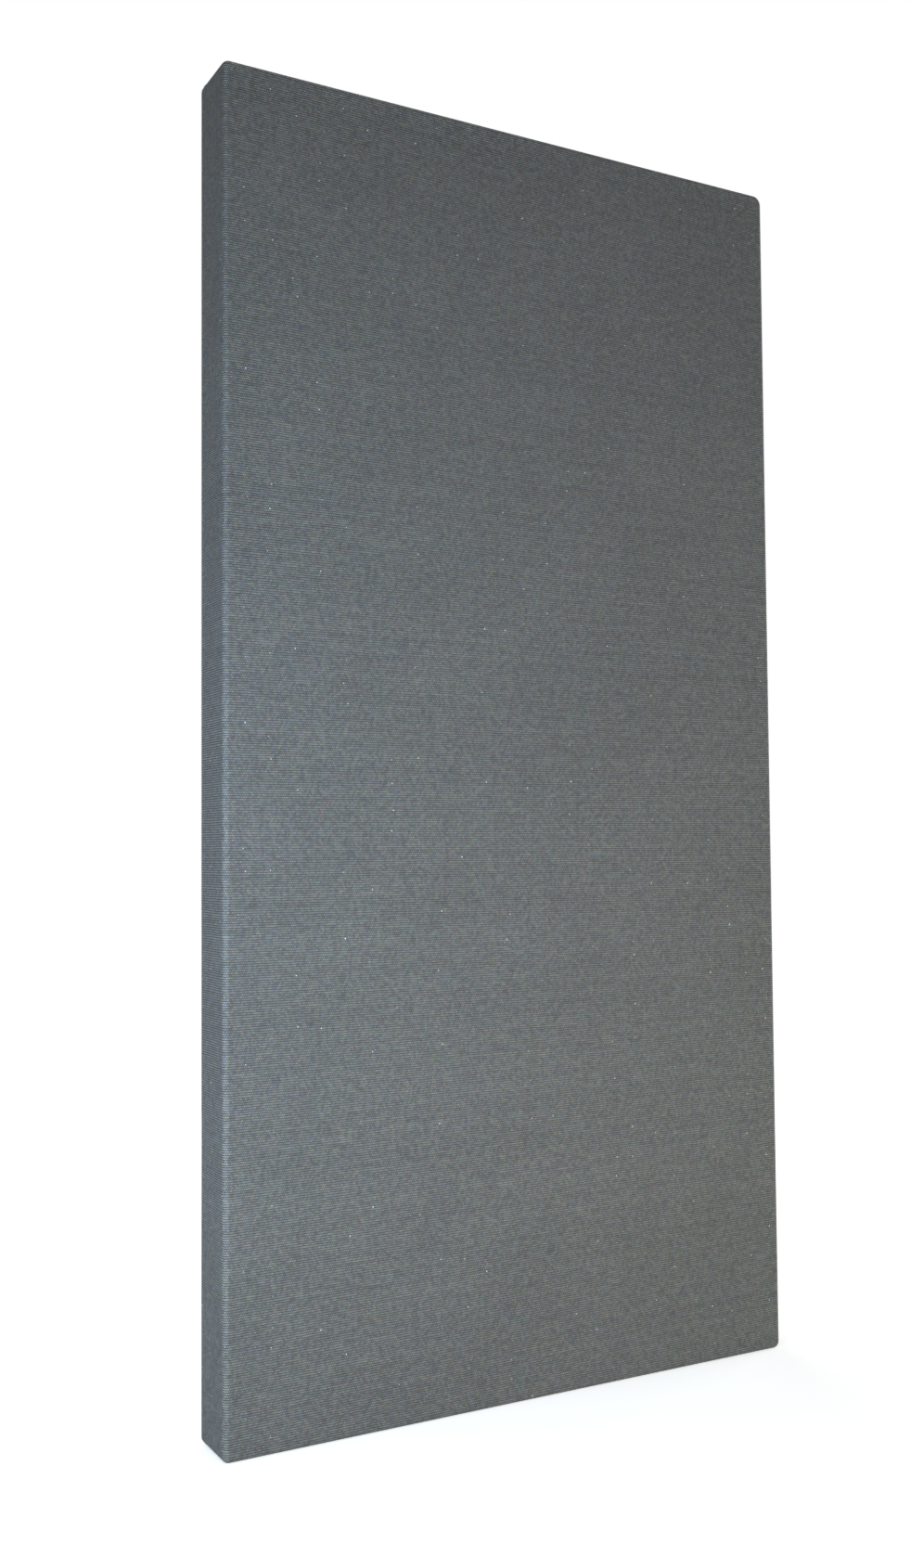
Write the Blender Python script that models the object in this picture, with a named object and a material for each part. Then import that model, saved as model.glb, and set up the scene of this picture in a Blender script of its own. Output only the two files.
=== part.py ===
"""A cloth-wrapped bass trap panel, 2 by 4 feet, that hangs across the corner of a room.

A rebated wood frame holds a mineral wool board. Wadding softens the front, one piece of ribbed cloth
wraps the front and sides and turns onto the back, and a dust cover closes the back. The panel hangs
by two swinging D-rings. X runs along the width, -Y is the front, Z is up, and the origin is the
middle of the bottom face.
"""

import math

import bmesh
import bpy
from mathutils import Euler, Matrix, Vector

MM = 0.001
INCH = 0.0254

# Overall size of the wrapped panel, and the room left between pieces that touch
PANEL_WIDTH = 24 * INCH
PANEL_HEIGHT = 48 * INCH
GAP = 0.3 * MM

# Cloth and wadding. The cloth squashes the wadding's edge round over nearly its whole thickness, and
# the panel's corners, seen from the front, are a little rounder than its front edge
CLOTH = 0.9 * MM
WADDING = 4.5 * MM
WADDING_SQUARE = 0.2 * MM
CORNER_EXTRA = {
    ("left", "top"): 1.5 * MM,
    ("left", "bottom"): 0.5 * MM,
    ("right", "top"): 4.5 * MM,
    ("right", "bottom"): 1.5 * MM,
}
BACK_RADIUS = 1.5 * MM
BACK_BORDER = 18.5 * MM
FLAP_EDGE = 2.5 * MM
CORNER_STEPS = 5
FRONT_STEPS = 5
BACK_STEPS = 2

# Dust cover over the open back. It laps onto the frame, where its staples hold
DUST_COVER = 0.5 * MM
DUST_COVER_INSET = 9 * MM
DUST_COVER_CORNER = 8 * MM

# Wood frame, rebated at the corners, with a brace let into the stiles and glue blocks in the corners
FRAME_DEPTH = 2 * INCH
STOCK = 19 * MM
REBATE = 9.5 * MM
BRACE_WIDTH = 38 * MM
BRACE_THICKNESS = 12.7 * MM
BLOCK_LEG = 60 * MM
BLOCK_THICKNESS = 19 * MM
BLOCK_POINT = 4 * MM

# Screws, all with a cross recess
FRAME_SCREW = {"shank": 4.2 * MM, "head": 8.1 * MM, "head_height": 3.1 * MM, "length": 38 * MM}
BRACE_SCREW = {"shank": 3.5 * MM, "head": 6.7 * MM, "head_height": 2.6 * MM, "length": 25 * MM}
HANGER_SCREW = {"shank": 3.5 * MM, "head": 6.9 * MM, "head_height": 2.3 * MM, "length": 16 * MM}
SCREW_RIM = 0.5 * MM
SCREW_TIP = 4 * MM
SCREW_SIDES = 16
DOME_STEPS = 3
SCREW_PLAY = 0.4 * MM
FRAME_SCREW_SPACING = 25 * MM
FRAME_SCREW_SINK = 1.2 * MM
BRACE_SCREW_SPACING = 18 * MM
RECESS_WIDTH = 1.0 * MM
RECESS_LENGTH = 3.8 * MM
RECESS_DEPTH = 1.5 * MM

# Hangers: a steel strap folded round the straight bar of a wire D-ring
HANGER_DROP = 150 * MM
HANGER_INSET = 13.5 * MM
STRAP_WIDTH = 11 * MM
STRAP_STEEL = 1.0 * MM
STRAP_LENGTH = 40 * MM
STRAP_END_RADIUS = 4.5 * MM
STRAP_BEND_RADIUS = 3 * MM
STRAP_SCREW_DROPS = {"upper": 20 * MM, "lower": 32 * MM}
RING_WIRE = 2.5 * MM
RING_WIDTH = 21 * MM
RING_REACH = 14 * MM
RING_CORNER = 2.6 * MM
RING_BOW_STEPS = 12
LOOP_STEPS = 10
BEND_STEPS = 4

# How far a cutter runs past the face that it opens
PAST = 2 * MM

# Planes from front to back, worked out from the layers
PANEL_DEPTH = 2 * CLOTH + 3 * GAP + WADDING + FRAME_DEPTH
FRONT_Y = -PANEL_DEPTH / 2
BACK_Y = PANEL_DEPTH / 2
WADDING_FRONT_Y = FRONT_Y + CLOTH + GAP
FRAME_FRONT_Y = WADDING_FRONT_Y + WADDING + GAP
FRAME_MIDDLE_Y = FRAME_FRONT_Y + FRAME_DEPTH / 2
FRAME_BACK_Y = FRAME_FRONT_Y + FRAME_DEPTH
COVER_FRONT_Y = BACK_Y + GAP
COVER_BACK_Y = COVER_FRONT_Y + DUST_COVER

# The rounding of the wrapped edges and the frame's outline inside the cloth
SKIN = CLOTH + GAP
FRONT_RADIUS = WADDING - WADDING_SQUARE + SKIN
FRAME_X = PANEL_WIDTH / 2 - SKIN
FRAME_INNER_X = FRAME_X - STOCK
STILE_X = FRAME_X - STOCK / 2
FRAME_Z = {"bottom": SKIN, "top": PANEL_HEIGHT - SKIN}
MIDDLE_Z = PANEL_HEIGHT / 2

# The hangers' axis, and how far their two leaves lie from it
LOOP_INNER = RING_WIRE / 2 + GAP
LOOP_MIDDLE = LOOP_INNER + STRAP_STEEL / 2
LOOP_OUTER = LOOP_INNER + STRAP_STEEL
OUTER_LEAF = GAP + STRAP_STEEL - LOOP_MIDDLE
STRAP_FACE = OUTER_LEAF + STRAP_STEEL / 2
HANGER_Y = COVER_BACK_Y + GAP + LOOP_OUTER
HANGER_X = PANEL_WIDTH / 2 - HANGER_INSET
HANGER_Z = PANEL_HEIGHT - HANGER_DROP

# The bow's radius, how far below the axis it crosses the strap's edges, and the tilt that it rests at
RING_HALF = (RING_WIDTH - RING_WIRE) / 2
RING_CROSSING = RING_REACH - RING_HALF + math.sqrt(RING_HALF**2 - (STRAP_WIDTH / 2) ** 2)
RING_TILT = math.asin((STRAP_FACE + GAP + RING_WIRE / 2) / RING_CROSSING)

SIDES = {"left": -1, "right": 1}
ENDS = {"bottom": -1, "top": 1}


def clear_scene():
    for old in list(bpy.data.objects):
        bpy.data.objects.remove(old)


def make_material(name, colour, roughness, metallic=0.0):
    material = bpy.data.materials.new(name)
    material.use_nodes = True
    shader = material.node_tree.nodes["Principled BSDF"]
    shader.inputs["Base Color"].default_value = (*colour, 1.0)
    shader.inputs["Roughness"].default_value = roughness
    shader.inputs["Metallic"].default_value = metallic
    return material


def make_object(name, mesh, material=None):
    obj = bpy.data.objects.new(name, mesh)
    bpy.context.scene.collection.objects.link(obj)
    if material:
        mesh.materials.clear()
        mesh.materials.append(material)
    return obj


def mesh_from(name, bm, smooth=False):
    bmesh.ops.recalc_face_normals(bm, faces=bm.faces)
    mesh = bpy.data.meshes.new(name)
    bm.to_mesh(mesh)
    bm.free()
    if smooth:
        mesh.shade_smooth()
        mesh.set_sharp_from_angle(angle=math.radians(35))
    return mesh


def add_boolean(obj, operation, bm):
    """Adds a Boolean of the shape in bm, through a hidden helper that lies where the object does."""
    helper = make_object(obj.name + "_cutter", mesh_from(obj.name, bm))
    helper.hide_render = True
    helper.display_type = "WIRE"
    modifier = obj.modifiers.new(operation.title(), "BOOLEAN")
    modifier.operation = operation
    modifier.solver = "EXACT"
    modifier.object = helper


def frozen(obj):
    """The object's mesh with its modifiers applied. The object and its helpers are removed."""
    bpy.context.view_layer.update()
    graph = bpy.context.evaluated_depsgraph_get()
    mesh = bpy.data.meshes.new_from_object(obj.evaluated_get(graph))
    helpers = [modifier.object for modifier in obj.modifiers]
    for used in [obj, *helpers]:
        bpy.data.objects.remove(used)
    return mesh


def add_box(bm, low, high):
    low, high = Vector(low), Vector(high)
    size = Matrix.Diagonal((*(high - low), 1))
    bmesh.ops.create_cube(bm, size=1, matrix=Matrix.Translation((low + high) / 2) @ size)


def add_prism(bm, outline, direction):
    """Adds the outline, a list of points, extruded along the direction."""
    face = bm.faces.new([bm.verts.new(point) for point in outline])
    extruded = bmesh.ops.extrude_face_region(bm, geom=[face])["geom"]
    moved = [item for item in extruded if isinstance(item, bmesh.types.BMVert)]
    bmesh.ops.translate(bm, verts=moved, vec=direction)


def add_mesh(bm, mesh, place):
    before = set(bm.verts)
    bm.from_mesh(mesh)
    added = [vertex for vertex in bm.verts if vertex not in before]
    bmesh.ops.transform(bm, matrix=place, verts=added)


def edges_at(bm, **place):
    """The edges whose two ends both lie at the given x, y or z."""

    def lies_there(vertex):
        return all(abs(getattr(vertex.co, axis) - value) < 0.01 * MM for axis, value in place.items())

    return [edge for edge in bm.edges if all(lies_there(vertex) for vertex in edge.verts)]


def round_edges(bm, edges, radius, steps):
    bmesh.ops.bevel(
        bm, geom=edges, offset=radius, segments=steps, profile=0.5, affect="EDGES", clamp_overlap=False
    )


def end_z(end, inset):
    """The height of a line that lies inset from the panel's top or bottom."""
    return PANEL_HEIGHT - inset if end == "top" else inset


def rounded_slab(inset, front_y, back_y, front_radius, back_radius):
    """The wrapped panel's own shape, drawn in by inset all round, between two planes."""
    bm = bmesh.new()
    half = PANEL_WIDTH / 2 - inset
    add_box(bm, (-half, front_y, inset), (half, back_y, PANEL_HEIGHT - inset))
    for (side, end), extra in CORNER_EXTRA.items():
        corner = edges_at(bm, x=SIDES[side] * half, z=end_z(end, inset))
        round_edges(bm, corner, FRONT_RADIUS + extra - inset, CORNER_STEPS)
    if front_radius:
        round_edges(bm, edges_at(bm, y=front_y), front_radius, FRONT_STEPS)
    if back_radius:
        round_edges(bm, edges_at(bm, y=back_y), back_radius, BACK_STEPS)
    return bm


def trim_to_frame_outline(board):
    """Trims a board of the frame to the outline that the cloth is stretched over."""
    outline = rounded_slab(SKIN, FRAME_FRONT_Y - PAST, FRAME_BACK_Y + PAST, 0, 0)
    add_boolean(board, "INTERSECT", outline)


def screw_profile(size, countersunk, grow=0.0, above=0.0):
    """Half of a screw's section as (radius, height), from its top down to its tip.

    Height 0 is the top of a countersunk head, or the underside of a pan head. For a hole, grow
    widens the section and above carries it past the face that the screw enters.
    """
    head = size["head"] / 2 + grow
    shank = size["shank"] / 2 + grow
    height = size["head_height"]
    point = [(shank, SCREW_TIP - size["length"]), (0, -size["length"] - grow)]
    if countersunk:
        return [(0, above), (head, above), (head, -SCREW_RIM), (shank, -height), *point]
    if above:
        return [(0, above), (shank, above), *point]
    dome = []
    for step in range(DOME_STEPS + 1):
        angle = math.pi / 2 * (1 - step / DOME_STEPS)
        dome.append((head * math.cos(angle), SCREW_RIM + (height - SCREW_RIM) * math.sin(angle)))
    dome[0] = (0, height)
    return [*dome, (head, 0), (shank, 0), *point]


def turned_mesh(name, profile):
    """The profile spun once round Z."""
    bm = bmesh.new()
    points = [bm.verts.new((radius, 0, height)) for radius, height in profile]
    edges = [bm.edges.new(pair) for pair in zip(points, points[1:])]
    bmesh.ops.spin(
        bm, geom=points + edges, axis=(0, 0, 1), cent=(0, 0, 0), steps=SCREW_SIDES, angle=2 * math.pi
    )
    bmesh.ops.remove_doubles(bm, verts=bm.verts, dist=0.001 * MM)
    return mesh_from(name, bm, smooth=True)


def screw_mesh(name, size, countersunk):
    """One screw, its head towards +Z, with a cross recess."""
    screw = make_object(name, turned_mesh(name, screw_profile(size, countersunk)))
    top = 0 if countersunk else size["head_height"]
    width, reach = RECESS_WIDTH / 2, RECESS_LENGTH / 2
    quarter = [(reach, -width), (reach, width), (width, width)]
    outline = []
    for turn in range(4):
        spin = Matrix.Rotation(turn * math.pi / 2, 3, "Z")
        outline += [spin @ Vector((x, y, top - RECESS_DEPTH)) for x, y in quarter]
    bm = bmesh.new()
    add_prism(bm, outline, (0, 0, RECESS_DEPTH + PAST))
    add_boolean(screw, "DIFFERENCE", bm)
    mesh = frozen(screw)
    mesh.shade_smooth()
    mesh.set_sharp_from_angle(angle=math.radians(35))
    return mesh


def facing(direction, point):
    """The placing that turns +Z to the direction and moves the origin to the point."""
    turn = Vector((0, 0, 1)).rotation_difference(Vector(direction))
    return Matrix.Translation(point) @ turn.to_matrix().to_4x4()


def frame_screw_places():
    """The frame screws' names and placings: two at each corner, in through the stile."""
    places = {}
    for side, x in SIDES.items():
        for end, z in ENDS.items():
            for layer, y in (("front", -1), ("back", 1)):
                point = (
                    x * (FRAME_X - FRAME_SCREW_SINK),
                    FRAME_MIDDLE_Y + y * FRAME_SCREW_SPACING / 2,
                    FRAME_Z[end] - z * STOCK / 2,
                )
                places[f"frame_screw_{side}_{end}_{layer}"] = facing((x, 0, 0), point)
    return places


def brace_screw_places():
    """The brace screws' names and placings: two at each end, in from the back."""
    places = {}
    for side, x in SIDES.items():
        for level, z in (("lower", -1), ("upper", 1)):
            point = (x * STILE_X, FRAME_BACK_Y - GAP, MIDDLE_Z + z * BRACE_SCREW_SPACING / 2)
            places[f"brace_screw_{side}_{level}"] = facing((0, 1, 0), point)
    return places


def hanger_screw_places():
    """The hanger screws' names and placings: two through each strap."""
    places = {}
    for side, x in SIDES.items():
        for level, drop in STRAP_SCREW_DROPS.items():
            point = (x * HANGER_X, HANGER_Y + STRAP_FACE + GAP, HANGER_Z - drop)
            places[f"hanger_screw_{side}_{level}"] = facing((0, 1, 0), point)
    return places


def add_screw_holes(bm, places, size, countersunk, above=PAST):
    hole = turned_mesh("hole", screw_profile(size, countersunk, GAP, above))
    for place in places:
        add_mesh(bm, hole, place)
    bpy.data.meshes.remove(hole)


def on_side(places, side):
    return [place for name, place in places.items() if f"_{side}_" in name]


def add_hanger_screw_holes(bm, middle_y, thickness):
    """Clearance holes for the hanger screws through a thin layer on the back."""
    for place in hanger_screw_places().values():
        bmesh.ops.create_cone(
            bm,
            cap_ends=True,
            segments=SCREW_SIDES,
            radius1=HANGER_SCREW["shank"] / 2 + SCREW_PLAY,
            radius2=HANGER_SCREW["shank"] / 2 + SCREW_PLAY,
            depth=thickness + 2 * PAST,
            matrix=facing((0, 1, 0), (place.translation.x, middle_y, place.translation.z)),
        )


def make_fabric_wrap(material):
    """A tray of cloth: front, sides and a border turned onto the back, its corners folded over."""
    outer = rounded_slab(0, FRONT_Y, BACK_Y, FRONT_RADIUS, BACK_RADIUS)
    wrap = make_object("fabric_wrap", mesh_from("fabric_wrap", outer, smooth=True), material)
    hollow = rounded_slab(
        CLOTH, FRONT_Y + CLOTH, BACK_Y - CLOTH, FRONT_RADIUS - CLOTH, BACK_RADIUS - CLOTH
    )
    add_boolean(wrap, "DIFFERENCE", hollow)

    flaps = bmesh.new()
    for side in SIDES.values():
        for end in ENDS:
            add_corner_flap(flaps, side, end)
    add_boolean(wrap, "UNION", flaps)

    window = bmesh.new()
    half = PANEL_WIDTH / 2 - BACK_BORDER
    low = (-half, BACK_Y - CLOTH - PAST, BACK_BORDER)
    add_box(window, low, (half, BACK_Y + PAST, PANEL_HEIGHT - BACK_BORDER))
    add_hanger_screw_holes(window, BACK_Y - CLOTH / 2, CLOTH)
    add_boolean(wrap, "DIFFERENCE", window)


def add_corner_flap(bm, side, end):
    """The second layer at a back corner, its edge folded at 45 degrees, as far as the dust cover."""
    cover_edge = DUST_COVER_INSET - GAP
    insets = (
        (FLAP_EDGE, FLAP_EDGE),
        (cover_edge, cover_edge),
        (BACK_BORDER + PAST, cover_edge),
        (BACK_BORDER + PAST, FLAP_EDGE),
    )
    base_y = BACK_Y - CLOTH / 2
    outline = [(side * (PANEL_WIDTH / 2 - x), base_y, end_z(end, z)) for x, z in insets]
    add_prism(bm, outline, (0, 1.5 * CLOTH, 0))


def make_front_wadding(material):
    bm = rounded_slab(
        SKIN, WADDING_FRONT_Y, WADDING_FRONT_Y + WADDING, FRONT_RADIUS - SKIN, back_radius=0
    )
    make_object("front_wadding", mesh_from("front_wadding", bm, smooth=True), material)


def make_stile(side, material):
    """A long side of the frame: rebated for the rails and housed for the brace."""
    x = SIDES[side]
    bm = bmesh.new()
    low_x, high_x = sorted((x * FRAME_INNER_X, x * (FRAME_X + PAST)))
    low = (low_x, FRAME_FRONT_Y, FRAME_Z["bottom"] - PAST)
    add_box(bm, low, (high_x, FRAME_BACK_Y, FRAME_Z["top"] + PAST))
    stile = make_object(f"{side}_stile", mesh_from(side, bm), material)
    trim_to_frame_outline(stile)

    cuts = bmesh.new()
    rebate_x = sorted((x * (FRAME_INNER_X - PAST), x * (FRAME_INNER_X + REBATE)))
    for end, z in FRAME_Z.items():
        shoulder, past_end = z - ENDS[end] * (STOCK + GAP), z + ENDS[end] * 2 * PAST
        low_z, high_z = sorted((shoulder, past_end))
        low = (rebate_x[0], FRAME_FRONT_Y - PAST, low_z)
        add_box(cuts, low, (rebate_x[1], FRAME_BACK_Y + PAST, high_z))
    add_brace_housing(cuts)
    add_boolean(stile, "DIFFERENCE", cuts)

    holes = bmesh.new()
    frame_screws = on_side(frame_screw_places(), side)
    brace_screws = on_side(brace_screw_places(), side)
    hanger_screws = on_side(hanger_screw_places(), side)
    add_screw_holes(holes, frame_screws, FRAME_SCREW, True, FRAME_SCREW_SINK + PAST)
    add_screw_holes(holes, brace_screws, BRACE_SCREW, True)
    add_screw_holes(holes, hanger_screws, HANGER_SCREW, False)
    add_boolean(stile, "DIFFERENCE", holes)


def add_brace_housing(bm):
    """The slot that the cross brace lies in, cut from the back across the whole frame."""
    half = BRACE_WIDTH / 2 + GAP
    low = (-FRAME_X - PAST, FRAME_BACK_Y - BRACE_THICKNESS - GAP, MIDDLE_Z - half)
    add_box(bm, low, (FRAME_X + PAST, FRAME_BACK_Y + PAST, MIDDLE_Z + half))


def make_rail(end, material):
    """A short side of the frame, its ends held in the stiles' rebates."""
    half = FRAME_INNER_X + REBATE - GAP
    inner_z, outer_z = FRAME_Z[end] - ENDS[end] * STOCK, FRAME_Z[end] + ENDS[end] * PAST
    low_z, high_z = sorted((inner_z, outer_z))
    bm = bmesh.new()
    add_box(bm, (-half, FRAME_FRONT_Y, low_z), (half, FRAME_BACK_Y, high_z))
    rail = make_object(f"{end}_rail", mesh_from(end, bm), material)
    trim_to_frame_outline(rail)
    holes = bmesh.new()
    places = [place for name, place in frame_screw_places().items() if f"_{end}_" in name]
    add_screw_holes(holes, places, FRAME_SCREW, True)
    add_boolean(rail, "DIFFERENCE", holes)


def make_cross_brace(material):
    bm = bmesh.new()
    half = BRACE_WIDTH / 2
    low = (-FRAME_X, FRAME_BACK_Y - BRACE_THICKNESS, MIDDLE_Z - half)
    add_box(bm, low, (FRAME_X, FRAME_BACK_Y, MIDDLE_Z + half))
    brace = make_object("cross_brace", mesh_from("cross_brace", bm), material)
    holes = bmesh.new()
    add_screw_holes(holes, brace_screw_places().values(), BRACE_SCREW, True)
    add_boolean(brace, "DIFFERENCE", holes)


def corner_block_prism(bm, side, end, corner, grow, depth, past):
    """A triangle with blunt points in the frame's inner corner, open or closed at the back."""
    reach, point = BLOCK_LEG + grow, BLOCK_POINT + grow
    steps = ((corner, corner), (reach, corner), (reach, point), (point, reach), (corner, reach))
    inner_z = FRAME_Z[end] - ENDS[end] * STOCK
    outline = []
    for along_rail, along_stile in steps:
        x = SIDES[side] * (FRAME_INNER_X - along_rail)
        outline.append((x, FRAME_BACK_Y - depth, inner_z - ENDS[end] * along_stile))
    add_prism(bm, outline, (0, depth + past, 0))


def make_corner_blocks(material):
    for side in SIDES:
        for end in ENDS:
            name = f"corner_block_{end}_{side}"
            bm = bmesh.new()
            corner_block_prism(bm, side, end, GAP, 0, BLOCK_THICKNESS, 0)
            make_object(name, mesh_from(name, bm), material)


def make_core_slab(material):
    """The mineral wool board, cut away behind for the brace and the corner blocks."""
    bm = bmesh.new()
    half = FRAME_INNER_X - GAP
    low = (-half, FRAME_FRONT_Y, FRAME_Z["bottom"] + STOCK + GAP)
    add_box(bm, low, (half, FRAME_BACK_Y, FRAME_Z["top"] - STOCK - GAP))
    core = make_object("core_slab", mesh_from("core_slab", bm), material)
    cuts = bmesh.new()
    add_brace_housing(cuts)
    for side in SIDES:
        for end in ENDS:
            corner_block_prism(cuts, side, end, -PAST, GAP, BLOCK_THICKNESS + GAP, PAST)
    add_boolean(core, "DIFFERENCE", cuts)


def make_dust_cover(material):
    bm = bmesh.new()
    half = PANEL_WIDTH / 2 - DUST_COVER_INSET
    low = (-half, COVER_FRONT_Y, DUST_COVER_INSET)
    add_box(bm, low, (half, COVER_BACK_Y, PANEL_HEIGHT - DUST_COVER_INSET))
    for x in SIDES.values():
        for end in ENDS:
            corner = edges_at(bm, x=x * half, z=end_z(end, DUST_COVER_INSET))
            round_edges(bm, corner, DUST_COVER_CORNER, CORNER_STEPS)
    cover = make_object("dust_cover", mesh_from("dust_cover", bm), material)
    holes = bmesh.new()
    add_hanger_screw_holes(holes, (COVER_FRONT_Y + COVER_BACK_Y) / 2, DUST_COVER)
    add_boolean(cover, "DIFFERENCE", holes)


def strap_section():
    """The folded strip's outline as (outwards, up) from the ring's axis.

    One leaf runs up the panel, the strip loops over the bar, bends back, and the second leaf runs
    down over the first. Each point of the middle line carries the direction of its outer side.
    """
    bend = STRAP_BEND_RADIUS
    turn = math.acos((bend + OUTER_LEAF) / (bend + LOOP_MIDDLE))
    centre = Vector((math.cos(turn), -math.sin(turn))) * (bend + LOOP_MIDDLE)
    line = [(Vector((-LOOP_MIDDLE, -STRAP_LENGTH)), Vector((-1, 0)))]
    for step in range(LOOP_STEPS + 1):
        angle = math.pi - (math.pi + turn) * step / LOOP_STEPS
        outwards = Vector((math.cos(angle), math.sin(angle)))
        line.append((outwards * LOOP_MIDDLE, outwards))
    for step in range(1, BEND_STEPS + 1):
        angle = math.pi - turn * (1 - step / BEND_STEPS)
        inwards = Vector((math.cos(angle), math.sin(angle)))
        line.append((centre + inwards * bend, -inwards))
    line.append((Vector((OUTER_LEAF, -STRAP_LENGTH)), Vector((1, 0))))
    half = STRAP_STEEL / 2
    outer = [point + side * half for point, side in line]
    inner = [point - side * half for point, side in line]
    return outer + inner[::-1]


def strap_mesh():
    """The folded strap, its origin on the ring's axis."""
    bm = bmesh.new()
    half = STRAP_WIDTH / 2
    add_prism(bm, [(-half, out, up) for out, up in strap_section()], (STRAP_WIDTH, 0, 0))
    for x in SIDES.values():
        corners = edges_at(bm, x=x * half, z=-STRAP_LENGTH)
        round_edges(bm, corners, STRAP_END_RADIUS, CORNER_STEPS)
    strap = make_object("strap", mesh_from("strap", bm, smooth=True))
    holes = bmesh.new()
    radius = HANGER_SCREW["shank"] / 2 + SCREW_PLAY
    for drop in STRAP_SCREW_DROPS.values():
        bmesh.ops.create_cone(
            holes,
            cap_ends=True,
            segments=SCREW_SIDES,
            radius1=radius,
            radius2=radius,
            depth=2 * LOOP_OUTER + PAST,
            matrix=facing((0, 1, 0), (0, 0, -drop)),
        )
    add_boolean(strap, "DIFFERENCE", holes)
    return frozen(strap)


def arc(centre, radius, start, end, steps):
    """Points along an arc in the ring's plane, angles in degrees."""
    points = []
    for step in range(steps + 1):
        angle = math.radians(start + (end - start) * step / steps)
        points.append((centre[0] + radius * math.cos(angle), centre[1] + radius * math.sin(angle)))
    return points


def ring_curve():
    """The D-ring: a straight bar on X, two short sides and a round bow that hangs below it."""
    bend = RING_HALF - RING_CORNER
    line = arc((bend, -RING_CORNER), RING_CORNER, 90, 0, BEND_STEPS)
    line += arc((0, RING_HALF - RING_REACH), RING_HALF, 0, -180, RING_BOW_STEPS)
    line += arc((-bend, -RING_CORNER), RING_CORNER, 180, 90, BEND_STEPS)
    curve = bpy.data.curves.new("ring", "CURVE")
    curve.dimensions = "3D"
    curve.bevel_depth = RING_WIRE / 2
    curve.bevel_resolution = 4
    spline = curve.splines.new("POLY")
    spline.points.add(len(line) - 1)
    for point, (x, z) in zip(spline.points, line):
        point.co = (x, 0, z, 1)
    spline.use_cyclic_u = True
    return curve


def make_hangers(strap_material, ring_material):
    """Both hangers. A ring turns about its object's X axis, and at rest it hangs on its strap."""
    strap, ring = strap_mesh(), ring_curve()
    ring.materials.append(ring_material)
    for side, x in SIDES.items():
        axis = (x * HANGER_X, HANGER_Y, HANGER_Z)
        make_object(f"hanger_strap_{side}", strap, strap_material).location = axis
        hanging = make_object(f"hanger_ring_{side}", ring)
        hanging.location = axis
        hanging.rotation_euler = Euler((RING_TILT, 0, 0))


def make_screws(places, mesh, material):
    for name, place in places.items():
        make_object(name, mesh, material).matrix_world = place


def main():
    clear_scene()
    cloth = make_material("ribbed_cloth", (0.125, 0.140, 0.150), 0.85)
    wadding = make_material("polyester_wadding", (0.85, 0.85, 0.83), 0.95)
    wool = make_material("mineral_wool", (0.42, 0.36, 0.16), 0.95)
    black_cloth = make_material("dust_cloth", (0.015, 0.015, 0.016), 0.9)
    pine = make_material("pine", (0.68, 0.47, 0.26), 0.6)
    zinc = make_material("zinc_plated_steel", (0.62, 0.62, 0.60), 0.35, 1.0)
    nickel = make_material("nickel_plated_wire", (0.72, 0.70, 0.66), 0.2, 1.0)

    make_fabric_wrap(cloth)
    make_front_wadding(wadding)
    make_core_slab(wool)
    make_dust_cover(black_cloth)
    for side in SIDES:
        make_stile(side, pine)
    for end in ENDS:
        make_rail(end, pine)
    make_cross_brace(pine)
    make_corner_blocks(pine)
    make_hangers(zinc, nickel)
    make_screws(frame_screw_places(), screw_mesh("frame_screw", FRAME_SCREW, True), zinc)
    make_screws(brace_screw_places(), screw_mesh("brace_screw", BRACE_SCREW, True), zinc)
    make_screws(hanger_screw_places(), screw_mesh("hanger_screw", HANGER_SCREW, False), zinc)


main()
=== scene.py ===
"""The looks of a cloth-wrapped bass trap panel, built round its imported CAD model.

Each piece or group of like pieces is made by one operator, listed in the sidebar of the 3D view. Run as
a script, the file makes them all in turn, with the studio last. X runs along the panel's width, -Y is
its front, Z is up, and all sizes are in metres.
"""

import math
from contextlib import contextmanager

import bmesh
import bpy
import numpy as np
from bpy.props import FloatProperty, FloatVectorProperty, IntProperty, PointerProperty
from mathutils import Matrix, Vector, noise


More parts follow.
